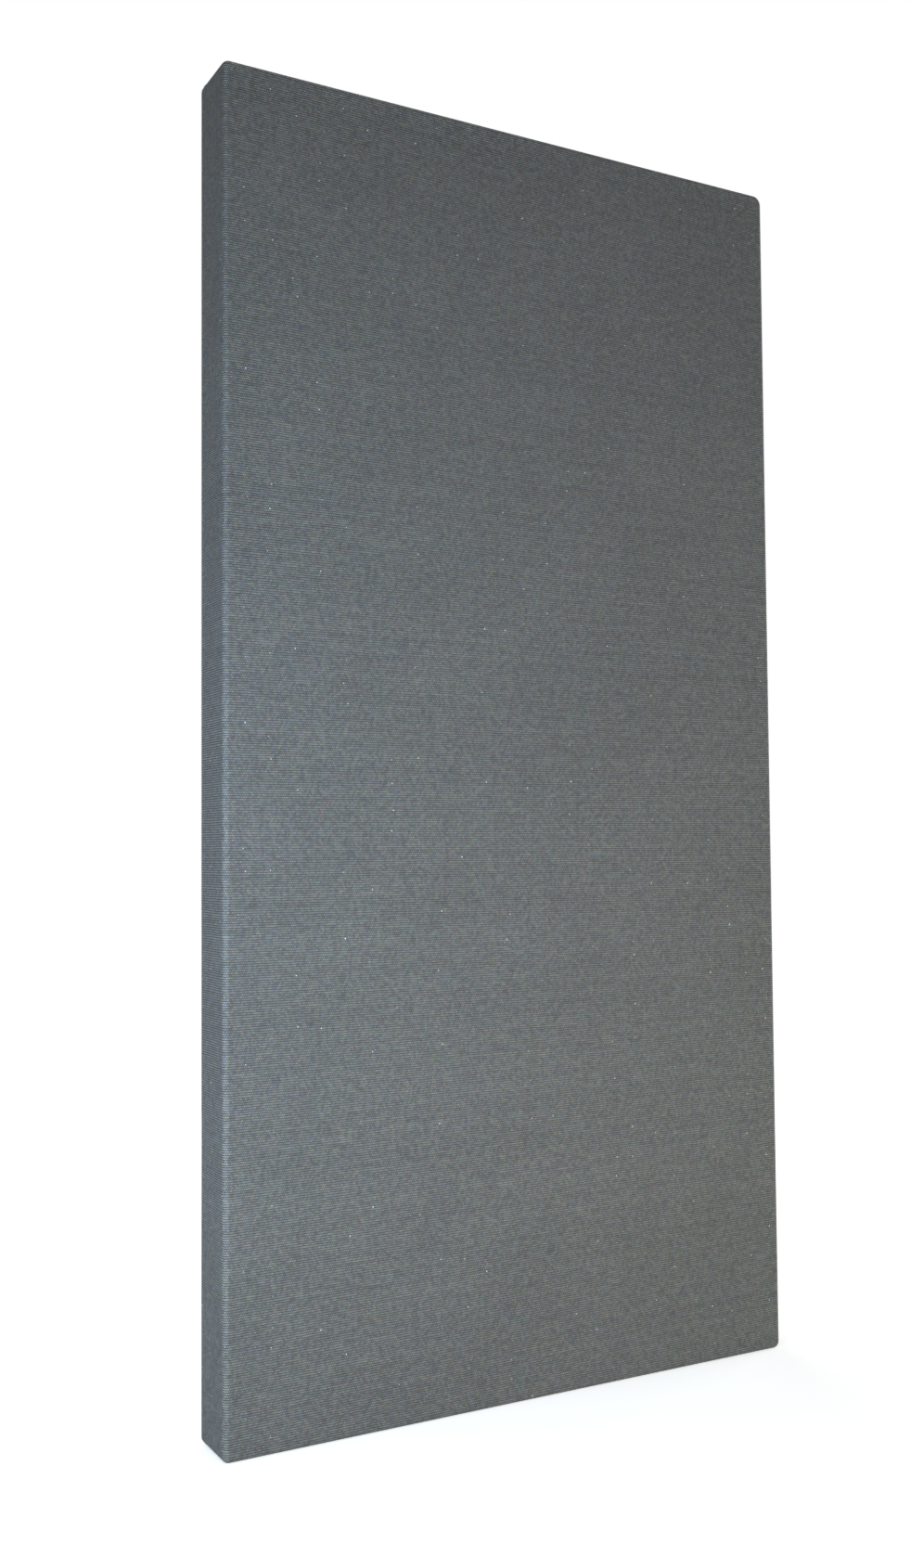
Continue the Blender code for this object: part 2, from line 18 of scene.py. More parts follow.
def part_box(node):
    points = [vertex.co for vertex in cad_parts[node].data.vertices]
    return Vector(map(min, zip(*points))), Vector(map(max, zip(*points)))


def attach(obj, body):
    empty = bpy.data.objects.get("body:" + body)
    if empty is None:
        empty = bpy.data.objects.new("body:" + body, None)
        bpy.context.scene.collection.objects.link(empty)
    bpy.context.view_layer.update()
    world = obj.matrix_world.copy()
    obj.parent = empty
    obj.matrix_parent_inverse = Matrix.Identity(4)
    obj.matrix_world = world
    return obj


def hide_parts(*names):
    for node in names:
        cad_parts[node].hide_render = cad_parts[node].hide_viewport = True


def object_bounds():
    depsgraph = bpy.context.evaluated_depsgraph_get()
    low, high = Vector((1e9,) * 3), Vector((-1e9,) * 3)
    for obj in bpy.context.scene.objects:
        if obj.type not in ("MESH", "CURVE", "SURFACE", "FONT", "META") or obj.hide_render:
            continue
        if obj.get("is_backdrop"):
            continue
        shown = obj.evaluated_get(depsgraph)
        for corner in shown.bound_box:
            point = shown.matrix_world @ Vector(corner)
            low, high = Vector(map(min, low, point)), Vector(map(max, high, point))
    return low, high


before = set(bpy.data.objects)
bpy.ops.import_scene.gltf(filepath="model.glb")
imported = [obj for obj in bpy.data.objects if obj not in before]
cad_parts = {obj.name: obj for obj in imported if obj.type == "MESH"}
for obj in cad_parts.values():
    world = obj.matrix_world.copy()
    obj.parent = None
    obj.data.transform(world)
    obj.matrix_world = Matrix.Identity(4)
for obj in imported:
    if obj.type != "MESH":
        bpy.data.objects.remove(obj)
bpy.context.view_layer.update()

bl_info = {
    "name": "Bass trap panel",
    "version": (1, 0, 0),
    "blender": (4, 5, 0),
    "location": "3D View > Sidebar > Bass trap",
    "description": "Dresses the CAD model of a cloth-wrapped bass trap panel and lights it",
    "category": "Object",
}

MM = 0.001

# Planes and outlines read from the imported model
WRAP_LOW, WRAP_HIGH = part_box("fabric_wrap")
HALF_WIDTH, HEIGHT = WRAP_HIGH.x, WRAP_HIGH.z
MIDDLE_Z = HEIGHT / 2
FRONT_Y, BACK_Y = WRAP_LOW.y, -WRAP_LOW.y
DEPTH = BACK_Y - FRONT_Y
COVER_LOW, COVER_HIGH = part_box("dust_cover")
# The two hangers lie at the same distance from the middle, so the right strap stands for both
STRAP_LOW, STRAP_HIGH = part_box("hanger_strap_right")

# The rounding of the wrapped edges. Corners are keyed by their signs along X and up from the middle
FRONT_RADIUS = 5.5 * MM
BACK_RADIUS = 1.5 * MM
CORNER_RADII = {(-1, 1): 7 * MM, (-1, -1): 6 * MM, (1, 1): 10 * MM, (1, -1): 7 * MM}
# How wide a border of cloth lies on the back, and how far inside the outline the wadding stays
BORDER = 18.5 * MM
SKIN = 1.2 * MM
# How far along the cloth from its middle the upright front edges lie, where a painted highlight lightens the
# rib crowns
EDGE_LINE = HALF_WIDTH - FRONT_RADIUS + FRONT_RADIUS * math.pi / 4


def length_setting(name, description, default):
    return FloatProperty(name=name, description=description, default=default, unit="LENGTH")


def colour_setting(name, description, default):
    return FloatVectorProperty(
        name=name, description=description, default=default, subtype="COLOR", min=0, max=1
    )


class ClothSettings(bpy.types.PropertyGroup):
    """The wrap's cloth."""

    thickness: length_setting("Thickness", "Thickness of the cloth", 0.8 * MM)
    rib_pitch: length_setting("Rib pitch", "Height of one rib of the weave", 2.08 * MM)
    float_length: length_setting("Float length", "Length of one thread on top of a rib", 2.1 * MM)
    cool_yarn: colour_setting("Cool yarn", "Bluest of the cloth's mixed threads", (0.146, 0.168, 0.196))
    warm_yarn: colour_setting("Warm yarn", "Warmest of the cloth's mixed threads", (0.186, 0.186, 0.172))
    # Painted shade: the dark colour laid into the hollows between the ribs, where shadow falls
    painted_rib_shade: colour_setting("Shade", "Colour between the ribs", (0.050, 0.055, 0.060))
    lint: colour_setting("Lint", "Colour of the lint specks", (0.80, 0.83, 0.86))
    unevenness: length_setting("Unevenness", "How far the stretched front strays from flat", 0.25 * MM)


class BackSettings(bpy.types.PropertyGroup):
    """The dust cover and its staples."""

    cover_colour: colour_setting("Cover", "Colour of the dust cover", (0.012, 0.012, 0.013))
    cover_thickness: length_setting("Thickness", "Thickness of the dust cover", 0.4 * MM)
    slack: FloatProperty(
        name="Slack", description="How much longer the cover is than its span", default=0.005,
        subtype="FACTOR",
    )
    staple_pitch: length_setting("Staple pitch", "Distance between staples", 58 * MM)
    staple_inset: length_setting("Staple inset", "From the cover's edge to the staples", 5 * MM)
    seed: IntProperty(name="Seed", description="Changes how unevenly the staples were shot", default=4)


class TimberSettings(bpy.types.PropertyGroup):
    """The frame's pine."""

    early: colour_setting("Early wood", "Pale wood between the rings", (0.70, 0.50, 0.29))
    late: colour_setting("Late wood", "Dark lines of the rings", (0.44, 0.25, 0.11))
    ring_pitch: length_setting("Ring pitch", "Distance between growth rings", 3.2 * MM)


class MetalSettings(bpy.types.PropertyGroup):
    """The hangers, screws and staples."""

    zinc: colour_setting("Zinc", "Colour of the zinc plating", (0.43, 0.44, 0.45))
    nickel: colour_setting("Nickel", "Colour of the nickel plating", (0.56, 0.53, 0.48))
    steel: colour_setting("Staple wire", "Colour of the staples", (0.42, 0.42, 0.41))


class StageSettings(bpy.types.PropertyGroup):
    """Floor, lamps and camera."""

    floor: colour_setting("Floor", "Colour of the floor", (0.86, 0.86, 0.85))
    ambient: FloatProperty(name="Ambient", description="Light from all round", default=0.06)
    focal_length: FloatProperty(
        name="Focal length", description="Camera's focal length in mm over a 36 mm tall frame",
        default=34.93,
    )


class BassTrapSettings(bpy.types.PropertyGroup):
    """All sizes and colours of the panel's looks."""

    cloth: PointerProperty(type=ClothSettings)
    back: PointerProperty(type=BackSettings)
    timber: PointerProperty(type=TimberSettings)
    metal: PointerProperty(type=MetalSettings)
    stage: PointerProperty(type=StageSettings)


# Modelling helpers


def deselect_all():
    bpy.ops.object.select_all(action="DESELECT")


def make_active(obj):
    deselect_all()
    obj.select_set(True)
    bpy.context.view_layer.objects.active = obj


def settle(name):
    """Names the primitive just added and moves its place into its mesh."""
    obj = bpy.context.object
    obj.name = obj.data.name = name
    bpy.ops.object.transform_apply(location=True, rotation=True, scale=True)
    return obj


def add_box(name, low, high):
    deselect_all()
    low, high = Vector(low), Vector(high)
    bpy.ops.mesh.primitive_cube_add(size=1, location=(low + high) / 2, scale=high - low)
    return settle(name)


@contextmanager
def editing(obj):
    make_active(obj)
    bpy.ops.object.mode_set(mode="EDIT")
    yield
    bpy.ops.object.mode_set(mode="OBJECT")


def pick(obj, kind, test):
    """In edit mode, selects only the vertices, edges or faces that pass the test."""
    bpy.ops.mesh.select_mode(type=kind)
    bpy.ops.mesh.select_all(action="DESELECT")
    mesh = bmesh.from_edit_mesh(obj.data)
    found = {"VERT": mesh.verts, "EDGE": mesh.edges, "FACE": mesh.faces}[kind]
    for item in found:
        if test(item):
            item.select_set(True)
    bmesh.update_edit_mesh(obj.data)


def round_edges(obj, radius, segments, **place):
    """In edit mode, rounds the edges that have both ends at the given x, y or z."""

    def ends_there(edge):
        gaps = [abs(getattr(end.co, axis) - value) for end in edge.verts for axis, value in place.items()]
        return max(gaps) < 0.01 * MM

    pick(obj, "EDGE", ends_there)
    bpy.ops.mesh.bevel(offset=radius, segments=segments, affect="EDGES")


def cut_all(places, normal):
    """In edit mode, cuts the whole mesh along planes with that normal, at distances along it."""
    for place in places:
        bpy.ops.mesh.select_all(action="SELECT")
        bpy.ops.mesh.bisect(plane_co=Vector(normal) * place, plane_no=normal)


def apply_modifier(obj, kind, **settings):
    make_active(obj)
    modifier = obj.modifiers.new(kind.title(), kind)
    for name, value in settings.items():
        setattr(modifier, name, value)
    bpy.ops.object.modifier_apply(modifier=modifier.name)


def smooth_shade(obj, degrees=40):
    make_active(obj)
    bpy.ops.object.shade_smooth_by_angle(angle=math.radians(degrees))


def add_copy(name, source):
    """A new object with a mesh of its own like the source's."""
    obj = bpy.data.objects.new(name, source.data.copy())
    bpy.context.scene.collection.objects.link(obj)
    return obj


def values_of(items, name, width=1, kind=np.float32):
    """One attribute of all of a mesh's points, faces or corners, in rows of that width."""
    values = np.empty(len(items) * width, kind)
    items.foreach_get(name, values)
    return values.reshape(-1, width) if width > 1 else values


def points_of(mesh):
    return values_of(mesh.vertices, "co", 3).astype(float)


def normals_of(mesh):
    return values_of(mesh.vertex_normals, "vector", 3).astype(float)


def move_points(mesh, points):
    mesh.vertices.foreach_set("co", points.astype(np.float32).ravel())
    mesh.update()


def smoothstep(low, high, value):
    share = np.clip((value - low) / (high - low), 0, 1)
    return share * share * (3 - 2 * share)


def insets(points):
    """How far inside the panel's sides, and inside its top or bottom, each point lies."""
    return HALF_WIDTH - np.abs(points[..., 0]), MIDDLE_Z - np.abs(points[..., 2] - MIDDLE_Z)


def wander(points, size, seed):
    """Smooth noise from about -1 to 1 at each point, its hills about that size across."""
    shift = Vector((seed, seed * 1.7, seed * 2.3))
    return np.array([noise.noise(Vector(point) / size + shift) for point in points])


def dress(obj, material):
    obj.data.materials.clear()
    obj.data.materials.append(material)


def finish_piece(obj, material, slot, *nodes):
    """Dresses a piece and puts it on the panel, in place of the CAD nodes given."""
    dress(obj, material)
    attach(obj, "panel")
    if nodes:
        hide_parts(*nodes)


# Material helpers


class Nodes:
    """Adds shader nodes to one tree and links them as it goes."""

    def __init__(self, tree):
        self.tree = tree

    def feed(self, socket, value):
        if isinstance(value, bpy.types.NodeSocket):
            self.tree.links.new(value, socket)
        else:
            socket.default_value = value

    def new(self, kind, inputs, **settings):
        node = self.tree.nodes.new("ShaderNode" + kind)
        for name, value in settings.items():
            setattr(node, name, value)
        for name, value in inputs.items():
            self.feed(node.inputs[name], value)
        return node

    def math(self, operation, *values):
        inputs = dict(enumerate(values))
        return self.new("Math", inputs, operation=operation).outputs[0]

    def chain(self, operation, first, *others):
        for other in others:
            first = self.math(operation, first, other)
        return first

    def product(self, *values):
        return self.chain("MULTIPLY", *values)

    def total(self, *values):
        return self.chain("ADD", *values)

    def mix(self, share, first, second, blend="MIX"):
        """Mixes two colours, each given as a socket or as red, green and blue."""
        inputs = {0: share}
        for place, colour in ((6, first), (7, second)):
            inputs[place] = colour if isinstance(colour, bpy.types.NodeSocket) else (*colour, 1)
        return self.new("Mix", inputs, data_type="RGBA", blend_type=blend).outputs[2]

    def span(self, value, low, high, to_low=0.0, to_high=1.0, kind="SMOOTHSTEP"):
        inputs = {"Value": value, 1: low, 2: high, 3: to_low, 4: to_high}
        return self.new("MapRange", inputs, interpolation_type=kind).outputs[0]

    def between(self, value, low, high):
        """From low to high as the value goes from 0 to 1."""
        return self.span(value, 0.0, 1.0, low, high, "LINEAR")

    def split(self, vector):
        return self.new("SeparateXYZ", {0: vector}).outputs

    def join(self, x, y, z):
        return self.new("CombineXYZ", {0: x, 1: y, 2: z}).outputs[0]

    def scale(self, vector, factors):
        return self.new("VectorMath", {0: vector, 1: factors}, operation="MULTIPLY").outputs[0]

    def in_units(self, vector, size):
        """The vector counted in units of that size."""
        inputs = {0: vector, "Scale": self.math("DIVIDE", 1.0, size)}
        return self.new("VectorMath", inputs, operation="SCALE").outputs[0]

    def noise(self, vector, size, detail=2.0, roughness=0.5):
        inputs = {"Vector": vector, "Scale": 1 / size, "Detail": detail, "Roughness": roughness}
        return self.new("TexNoise", inputs).outputs["Fac"]

    def waver(self, vector, size, strength, rest):
        """The rest, plus a noise that differs along each axis and reaches up to that strength."""
        waver = self.new("TexNoise", {"Vector": vector, "Scale": 1 / size, "Detail": 1.0}).outputs["Color"]
        inputs = {0: waver, 1: (strength,) * 3, 2: rest}
        return self.new("VectorMath", inputs, operation="MULTIPLY_ADD").outputs[0]

    def heather(self, vector, size, strength):
        """A colour that wavers round white, as where fibres of several colours are mixed."""
        return self.waver(vector, size, strength, (1 - strength / 2,) * 3)

    def shaded(self, colour, level):
        """The colour, darker or lighter by that level."""
        return self.mix(1.0, colour, self.join(level, level, level), "MULTIPLY")

    def random(self, vector):
        return self.new("TexWhiteNoise", {"Vector": vector}).outputs["Value"]

    def bump(self, height, distance):
        inputs = {"Height": height, "Distance": distance, "Strength": 1.0}
        return self.new("Bump", inputs).outputs[0]

    def place(self):
        return self.new("TexCoord", {}).outputs["Object"]

    def group(self, tree, **inputs):
        node = self.tree.nodes.new("ShaderNodeGroup")
        node.node_tree = tree
        for name, value in inputs.items():
            self.feed(node.inputs[name.capitalize()], value)
        return node.outputs


def make_group(name, inputs, outputs, build):
    """A node group. Its inputs and outputs are in build's order, and all but Vector are numbers."""
    if name in bpy.data.node_groups:
        return bpy.data.node_groups[name]
    tree = bpy.data.node_groups.new(name, "ShaderNodeTree")
    for label in inputs:
        kind = "NodeSocketVector" if label == "Vector" else "NodeSocketFloat"
        tree.interface.new_socket(label, in_out="INPUT", socket_type=kind)
    for label in outputs:
        tree.interface.new_socket(label, in_out="OUTPUT", socket_type="NodeSocketFloat")
    source = tree.nodes.new("NodeGroupInput")
    nodes = Nodes(tree)
    results = build(nodes, *source.outputs[: len(inputs)])
    sink = tree.nodes.new("NodeGroupOutput")
    for result, socket in zip(results, sink.inputs):
        tree.links.new(result, socket)
    return tree


def make_material(name, build, **constants):
    """A Principled material. build gives its varying inputs, and constants set the rest."""
    material = bpy.data.materials.new(name)
    material.use_nodes = True
    shader = material.node_tree.nodes["Principled BSDF"]
    nodes = Nodes(material.node_tree)
    for label, value in build(nodes).items():
        nodes.feed(shader.inputs[label], value)
    for label, value in constants.items():
        shader.inputs[label.replace("_", " ")].default_value = value
    return material


def rib_group():
    """A brick-like ribbed weave: rows of short threads, each row shifted by half a thread."""

    def build(nodes, vector, pitch, length):
        along, across, _ = nodes.split(vector)
        row = nodes.math("DIVIDE", across, pitch)
        number = nodes.math("FLOOR", row)
        shift = nodes.product(nodes.math("FLOORED_MODULO", number, 2.0), 0.5)
        column = nodes.total(nodes.math("DIVIDE", along, length), shift)
        crown, rise = [
            nodes.math("SINE", nodes.product(nodes.math("FRACT", count), math.pi)) for count in (row, column)
        ]
        height = nodes.product(nodes.math("POWER", crown, 0.8), nodes.math("POWER", rise, 0.30))
        whole = nodes.math("FLOOR", column)
        thread = nodes.random(nodes.join(whole, number, 0.0))
        hue = nodes.random(nodes.join(whole, number, 3.0))
        streak = nodes.random(nodes.join(0.0, number, 7.0))
        lay = nodes.total(nodes.product(column, 3.0), nodes.product(row, 2.0))
        twist = nodes.math("SINE", nodes.product(lay, 2 * math.pi))
        return height, nodes.product(twist, height), thread, hue, streak

    outputs = ("Height", "Twist", "Thread", "Hue", "Streak")
    return make_group("ribbed weave", ("Vector", "Pitch", "Length"), outputs, build)


def fibre_group():
    """Loose fibres that lie every way, at two sizes."""

    def build(nodes, vector, size):
        small = nodes.in_units(vector, size)
        strands = []
        for way in ((1.0, 0.25, 0.25), (0.25, 0.25, 1.0)):
            streaks = nodes.noise(nodes.scale(small, way), 1.0, 3.0)
            strands.append(nodes.math("ABSOLUTE", nodes.math("SUBTRACT", streaks, 0.5)))
        height = nodes.span(nodes.math("MINIMUM", *strands), 0.0, 0.09, 1.0, 0.0)
        return height, nodes.noise(small, 8.0, 3.0)

    return make_group("loose fibres", ("Vector", "Size"), ("Height", "Cloud"), build)


def speck_group():
    """Scattered specks, one at most to a cell. Share is how many cells have one."""

    def build(nodes, vector, cell, share, size):
        inputs = {"Vector": nodes.in_units(vector, cell), "Scale": 1.0}
        spots = nodes.new("TexVoronoi", inputs, voronoi_dimensions="2D").outputs
        red, green, _ = nodes.new("SeparateColor", {0: spots["Color"]}).outputs
        distance = nodes.product(spots["Distance"], cell)
        reach = nodes.product(size, nodes.between(green, 0.4, 1.0))
        near = nodes.math("LESS_THAN", distance, reach)
        return (nodes.product(near, nodes.math("LESS_THAN", red, share)),)

    return make_group("lint specks", ("Vector", "Cell", "Share", "Size"), ("Mask",), build)


def grain_group():
    """Growth rings of a board whose length is along Z, cut from a log whose heart lies below it."""

    def build(nodes, vector, pitch):
        across, thick, _ = nodes.split(vector)
        bend = nodes.product(nodes.noise(nodes.scale(vector, (3.0, 3.0, 0.8)), 0.5), 0.05)
        side, deep = nodes.total(across, bend), nodes.total(thick, 0.06)
        squares = nodes.total(nodes.product(side, side), nodes.product(deep, deep))
        ring = nodes.math("DIVIDE", nodes.math("SQRT", squares), pitch)
        late = nodes.math("POWER", nodes.math("FRACT", ring), 2.2)
        pores = nodes.noise(nodes.scale(vector, (1.0, 1.0, 0.03)), 0.5 * MM)
        return nodes.span(late, 0.25, 1.0), pores

    return make_group("pine grain", ("Vector", "Pitch"), ("Rings", "Pores"), build)


def wear_group():
    """Cloudy patches and fine scratches where plated metal has been handled."""

    def build(nodes, vector, depth):
        cloud = nodes.noise(vector, 6 * MM, 4.0, 0.6)
        ways = ((1.0, 0.05, 0.3), (0.2, 0.4, 1.0))
        lines = [nodes.noise(nodes.scale(vector, way), 0.25 * MM, 1.0) for way in ways]
        scratch = nodes.span(nodes.math("MAXIMUM", *lines), 0.66, 0.80)
        return nodes.span(cloud, 0.35, 0.70), nodes.product(scratch, depth)

    return make_group("handling wear", ("Vector", "Depth"), ("Patch", "Scratch"), build)


def make_ribbed_cloth(settings):
    def build(nodes):
        flat = nodes.new("UVMap", {}, uv_map="cloth").outputs[0]
        place = nodes.place()
        woven = nodes.waver(place, 11 * MM, 0.7 * MM, flat)
        weave = nodes.group(
            rib_group(), vector=woven, pitch=settings.rib_pitch, length=settings.float_length
        )
        fibres = nodes.group(fibre_group(), vector=place, size=0.3 * MM)
        lint = nodes.group(speck_group(), vector=flat, cell=24 * MM, share=0.24, size=0.62 * MM)
        yarn = nodes.mix(weave["Hue"], settings.cool_yarn, settings.warm_yarn)
        # Painted shade: by the weave's height, the hollows between the ribs take the dark colour and the
        # crowns take the yarn's
        ground = nodes.mix(nodes.span(weave["Height"], 0.10, 0.85), settings.painted_rib_shade, yarn)
        # Painted highlight: a band along the upright front edges lightens the rib crowns in place of the
        # glint of light there, and the same band also makes them smoother
        from_middle = nodes.math("ABSOLUTE", nodes.split(flat)[0])
        to_edge = nodes.math("ABSOLUTE", nodes.math("SUBTRACT", from_middle, EDGE_LINE))
        painted_glint_and_polish = nodes.product(nodes.span(to_edge, 1.0 * MM, 5.5 * MM, 1.0, 0.0), weave["Height"])
        level = nodes.product(
            nodes.span(painted_glint_and_polish, 0.0, 1.0, 1.0, 1.45),
            nodes.between(weave["Thread"], 0.80, 1.20),
            nodes.between(weave["Streak"], 0.95, 1.05),
            nodes.between(fibres["Height"], 0.94, 1.08),
            nodes.span(nodes.noise(place, 7 * MM), 0.3, 0.7, 0.93, 1.07),
            nodes.span(nodes.noise(place, 90 * MM), 0.3, 0.7, 0.97, 1.03),
        )
        mixed = nodes.heather(place, 4 * MM, 0.30)
        toned = nodes.mix(1.0, nodes.shaded(ground, level), mixed, "MULTIPLY")
        fuzz, strands = nodes.product(fibres["Height"], 0.12), nodes.product(weave["Twist"], 0.10)
        surface = nodes.total(weave["Height"], fuzz, strands)
        roughness = nodes.span(weave["Height"], 0.3, 1.0, 1.0, 0.52)
        return {
            "Base Color": nodes.mix(lint["Mask"], toned, settings.lint),
            "Roughness": nodes.math("SUBTRACT", roughness, nodes.product(painted_glint_and_polish, 0.2)),
            "Normal": nodes.bump(surface, 0.30 * MM),
        }

    return make_material("ribbed cloth", build, Specular_IOR_Level=0.22)


def make_dust_cloth(settings):
    def build(nodes):
        place = nodes.place()
        x, _, z = nodes.split(place)
        flat = nodes.join(x, z, 0.0)
        fibres = nodes.group(fibre_group(), vector=place, size=0.5 * MM)
        lint = nodes.group(speck_group(), vector=flat, cell=28 * MM, share=0.15, size=0.5 * MM)
        inputs = {"Vector": flat, "Scale": 1 / (1.6 * MM), "Randomness": 0.0}
        pressed = nodes.new("TexVoronoi", inputs, voronoi_dimensions="2D")
        dimple = nodes.span(pressed.outputs["Distance"], 0.12, 0.30)
        on_fibres = nodes.product(fibres["Height"], 0.8)
        level = nodes.total(on_fibres, nodes.span(dimple, 0.0, 1.0, 0.6, 1.0))
        colour = nodes.shaded(settings.cover_colour, level)
        height = nodes.total(dimple, nodes.product(fibres["Height"], 0.35))
        return {
            "Base Color": nodes.mix(lint["Mask"], colour, (0.45, 0.45, 0.46)),
            "Roughness": nodes.span(dimple, 0.0, 1.0, 0.45, 0.72),
            "Normal": nodes.bump(height, 0.10 * MM),
        }

    return make_material("black dust cloth", build, Sheen_Weight=0.05, Specular_IOR_Level=0.2)


def make_soft_fibre(name, dark, light, size, depth):
    """Wadding or mineral wool: matted fibres in two shades."""

    def build(nodes):
        fibres = nodes.group(fibre_group(), vector=nodes.place(), size=size)
        share = nodes.total(*(nodes.product(fibres[name], 0.5) for name in ("Height", "Cloud")))
        return {
            "Base Color": nodes.mix(share, dark, light),
            "Roughness": nodes.span(fibres["Cloud"], 0.3, 0.7, 0.85, 1.0),
            "Normal": nodes.bump(share, depth),
        }

    return make_material(name, build, Sheen_Weight=0.2)


def make_pine(name, settings, turn):
    """Pine with its length along the axis that turn brings to Z."""

    def build(nodes):
        turned = nodes.new("Mapping", {"Vector": nodes.place(), "Rotation": turn}).outputs[0]
        grain = nodes.group(grain_group(), vector=turned, pitch=settings.ring_pitch)
        wood = nodes.mix(grain["Rings"], settings.early, settings.late)
        tone = nodes.span(grain["Pores"], 0.3, 0.7, 0.88, 1.06)
        height = nodes.math("SUBTRACT", grain["Pores"], nodes.product(grain["Rings"], 0.4))
        return {
            "Base Color": nodes.shaded(wood, tone),
            "Roughness": nodes.span(grain["Rings"], 0.0, 1.0, 0.66, 0.5),
            "Normal": nodes.bump(height, 0.12 * MM),
        }

    return make_material(name, build)


def make_plated(name, colour, smoothest, roughest, depth):
    def build(nodes):
        wear = nodes.group(wear_group(), vector=nodes.place(), depth=depth)
        dull = [0.72 * value for value in colour]
        mask = nodes.math("MAXIMUM", nodes.product(wear["Patch"], 0.6), wear["Scratch"])
        return {
            "Base Color": nodes.mix(mask, colour, dull),
            "Roughness": nodes.between(wear["Patch"], smoothest, roughest),
            "Normal": nodes.bump(nodes.math("SUBTRACT", 1.0, wear["Scratch"]), 0.02 * MM),
        }

    return make_material(name, build, Metallic=1.0)


def dress_nodes(looks):
    """Gives each CAD node whose name holds one of the words that word's material."""
    for name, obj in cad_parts.items():
        for word, material in looks.items():
            if word in name:
                for slot in obj.material_slots:
                    slot.link = "OBJECT"
                    slot.material = material


# The cloth wrap


# Where the folded edge of each corner starts, past the rounding at the front, and ends at the back
FOLD_START = 2.5 * MM
FOLD_END = 0.4 * MM
# The layer tucked under a fold starts this deep behind the front and widens by this slope
TUCK_DEPTH = 6 * MM
TUCK_SLOPE = 0.9
# How far the layer raises the cloth, which is less at the bottom, where the panel stands on it
TOP_RISE = BACK_RISE = 0.75 * MM
BOTTOM_RISE = 0.3 * MM
# How far the folds reach from a corner's rounding, and where the one on the back fades in
FOLD_AREA = 60 * MM
BACK_FADE = (27 * MM, 20 * MM)
# Places in millimetres of the cuts along the sides, through the depth and beside a folded edge
CORNER_CUTS = (6.7, 8.4, 10.2, 12, 14, 16.2, 18.5, 21, 24, 28, 34, 42, 52, 64, 78)
DEPTH_CUTS = (6.7, 9.5, 13, 17, 22, 27, 32, 37, 42, 47, 52, 55.7)
FOLD_CUTS = (-0.2, 0.1, 0.45, 1.0)
# The distance between the cuts in a side's middle
FIELD_STEP = 26 * MM


def cut_places(length):
    """Where to cut across a side: fine near both ends, then evenly."""
    ends = [inset * MM for inset in CORNER_CUTS]
    count = round((length - 2 * ends[-1]) / FIELD_STEP)
    field = np.linspace(ends[-1], length - ends[-1], count + 1)[1:-1]
    return [*ends, *field, *(length - inset for inset in ends)]


def model_wrap_tray():
    """The wrap's outer face: a tray with rounded edges, its border turned onto the back."""
    tray = add_box("ribbed_cloth_wrap", (-HALF_WIDTH, FRONT_Y, 0), (HALF_WIDTH, BACK_Y, HEIGHT))
    with editing(tray):
        for (side, end), radius in CORNER_RADII.items():
            round_edges(tray, radius, 8, x=side * HALF_WIDTH, z=HEIGHT if end > 0 else 0)
        round_edges(tray, FRONT_RADIUS, 7, y=FRONT_Y)
        round_edges(tray, BACK_RADIUS, 3, y=BACK_Y)
        cut_all([place - HALF_WIDTH for place in cut_places(2 * HALF_WIDTH)], (1, 0, 0))
        cut_all(cut_places(HEIGHT), (0, 0, 1))
        cut_all([FRONT_Y + depth * MM for depth in DEPTH_CUTS], (0, 1, 0))
        for (side, end), radius in CORNER_RADII.items():
            cut_corner_folds(tray, side, end, radius)

        def in_window(face):
            middle = np.array(face.calc_center_median())
            return middle[1] > BACK_Y - 0.01 * MM and min(insets(middle)) > BORDER

        pick(tray, "FACE", in_window)
        bpy.ops.mesh.delete(type="FACE")
    return tray


def cut_corner_folds(tray, side, end, radius):
    """Fine cuts on both sides of a corner's folded edges, so that they come out crisp."""

    def near(face, on_back):
        middle = face.calc_center_median()
        inset_x = HALF_WIDTH - side * middle.x
        inset_z = MIDDLE_Z - end * (middle.z - MIDDLE_Z)
        if max(inset_x, inset_z) > 40 * MM or face.normal.y < -0.5:
            return False
        return face.normal.y > 0.5 if on_back else end * face.normal.z > 0.3

    # One fold runs back along the top or bottom to the rounding, and one slants across the back's border
    angle = math.pi / 4 + FOLD_END / radius
    x, z = HALF_WIDTH - radius, MIDDLE_Z + end * (MIDDLE_Z - radius)
    front = Vector((side * (x - FOLD_START), FRONT_Y + FRONT_RADIUS, z + end * radius))
    back = Vector((side * (x + radius * math.cos(angle)), BACK_Y, z + end * radius * math.sin(angle)))
    outwards = Vector((side * math.cos(angle) / 2, 0, end))
    outline_corner = Vector((side * HALF_WIDTH, 0, MIDDLE_Z + end * MIDDLE_Z))
    planes = (back, (back - front).cross(outwards)), (outline_corner, Vector((-side, 0, end)))
    for on_back, (point, normal) in enumerate(planes):
        normal.normalize()
        for shift in FOLD_CUTS:
            pick(tray, "FACE", lambda face: near(face, on_back))
            bpy.ops.mesh.bisect(plane_co=point + normal * shift * MM, plane_no=normal)


def along_cloth(across, y, half):
    """How far a point lies along the cloth from the panel's middle line, over its edges."""
    over = np.maximum(across - (half - FRONT_RADIUS), 0)
    inside = np.maximum(FRONT_Y + FRONT_RADIUS - y, 1e-9)
    front = np.minimum(across, half - FRONT_RADIUS) + FRONT_RADIUS * np.arctan2(over, inside)
    to_side = half - FRONT_RADIUS + FRONT_RADIUS * math.pi / 2
    side = to_side + (y - FRONT_Y - FRONT_RADIUS)
    past = np.maximum(across - (half - BACK_RADIUS), 0)
    turn = np.arctan2(y - (BACK_Y - BACK_RADIUS), np.maximum(past, 1e-9))
    to_back = to_side + DEPTH - FRONT_RADIUS - BACK_RADIUS
    back = to_back + BACK_RADIUS * turn + np.maximum(half - BACK_RADIUS - across, 0)
    return np.where(y < FRONT_Y + FRONT_RADIUS, front, np.where(y < BACK_Y - BACK_RADIUS, side, back))


